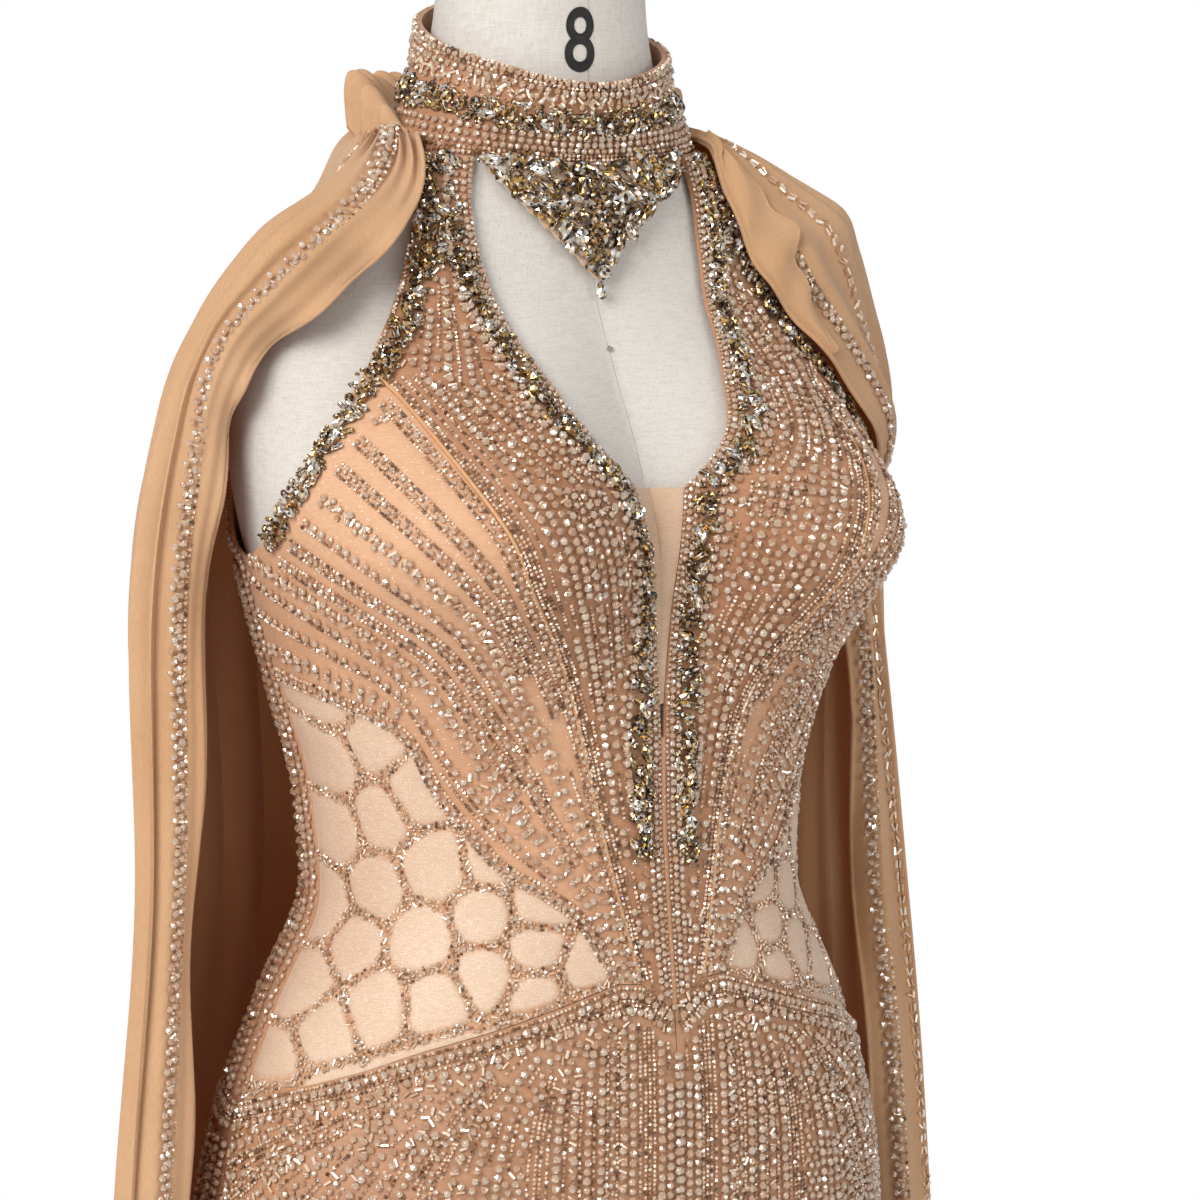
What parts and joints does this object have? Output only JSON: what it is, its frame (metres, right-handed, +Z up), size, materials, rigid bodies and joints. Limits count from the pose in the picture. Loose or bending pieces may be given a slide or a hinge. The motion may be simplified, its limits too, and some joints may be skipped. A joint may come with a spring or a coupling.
{
  "type": "mermaid gown on dress form",
  "caption": "Floor-length fitted mermaid gown with a keyhole halter bodice, net waist insets and a two-panel cape, on a limbless dress form with a round stand.",
  "frame": {"origin": "on the floor, at the middle of the round stand's underside", "axes": "+Z up, the front of the gown faces -Y, the wearer's left is +X"},
  "size_m": [0.9704, 0.9654, 1.56],
  "materials": {
    "beaded_cloth": "nude mesh worked all over with small glass beads and bugles",
    "nude_net": "fine shimmery stretch net",
    "chiffon": "matt sheer chiffon with rolled edges",
    "crystal_stones": "faceted smoky and golden crystals",
    "form_linen": "off-white linen cover",
    "stand_metal": "dark grey powder coat",
    "covered_button": "cloth-covered button"
  },
  "bodies": {
    "root": {"armhole_stones_L": "crystal_stones", "armhole_stones_R": "crystal_stones", "back_L": "beaded_cloth", "back_R": "beaded_cloth", "back_button_01": "covered_button", "back_button_02": "covered_button", "back_button_03": "covered_button", "back_button_04": "covered_button", "back_button_05": "covered_button", "back_button_06": "covered_button", "back_button_07": "covered_button", "back_button_08": "covered_button", "cape_L": "chiffon", "cape_R": "chiffon", "collar": "beaded_cloth", "collar_stones": "crystal_stones", "form_torso": "form_linen", "front_centre_L": "beaded_cloth", "front_centre_R": "beaded_cloth", "front_side_L": "beaded_cloth", "front_side_R": "beaded_cloth", "keyhole_stones_L": "crystal_stones", "keyhole_stones_R": "crystal_stones", "neck_cap": "form_linen", "pendant_bib": "crystal_stones", "plunge_inset": "nude_net", "pole_flange": "stand_metal", "skirt_back_L": "beaded_cloth", "skirt_back_R": "beaded_cloth", "skirt_front_L": "beaded_cloth", "skirt_front_R": "beaded_cloth", "stand_base": "stand_metal", "stand_pole": "stand_metal", "waist_inset_L": "nude_net", "waist_inset_R": "nude_net"}
  },
  "joints": []
}
